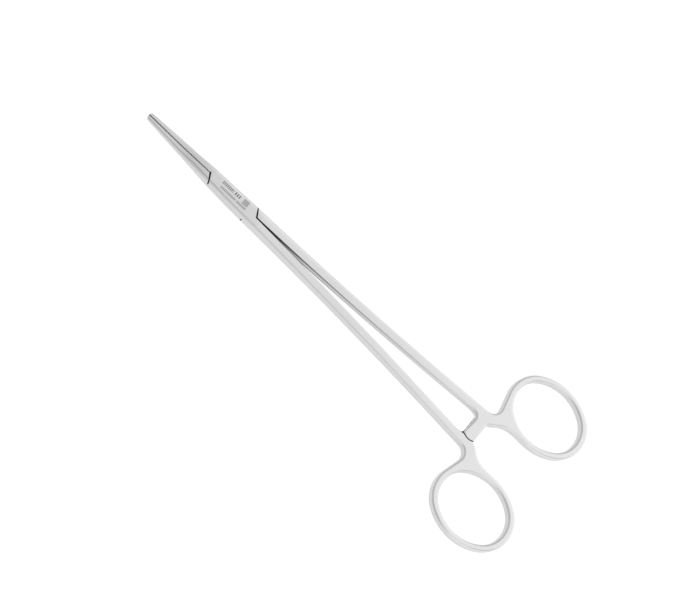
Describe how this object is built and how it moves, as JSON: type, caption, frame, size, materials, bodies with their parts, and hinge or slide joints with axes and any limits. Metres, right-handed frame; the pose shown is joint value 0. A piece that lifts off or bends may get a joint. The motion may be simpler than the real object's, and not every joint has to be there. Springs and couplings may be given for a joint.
{
  "type": "hemostat forceps",
  "caption": "Straight box-lock haemostatic forceps with cross-serrated jaws, slender shanks, a toothed ratchet between the handles and oval finger rings; shown closed.",
  "frame": {"origin": "on the pivot axis, in the plane of the box lock's flat underside", "axes": "X runs from the pivot along the closed arms towards the finger rings, Y lies in the plane in which the arms open, with the male arm's ring at +Y and the female arm's at -Y, and Z is the pivot axis, up from the underside"},
  "size_m": [0.18, 0.0666, 0.0046],
  "materials": {
    "satin_steel": "satin, glass-bead blasted and lightly polished"
  },
  "bodies": {
    "female_half": {"female_arm": "satin_steel", "pivot_pin": "satin_steel"},
    "male_half": {"male_arm": "satin_steel"}
  },
  "joints": [
    {"name": "box_lock_pivot", "type": "hinge", "parent": "female_half", "child": "male_half", "pos_m": [0, 0, 0], "axis": [0, 0, 1], "range_deg": [0, 60]}
  ]
}
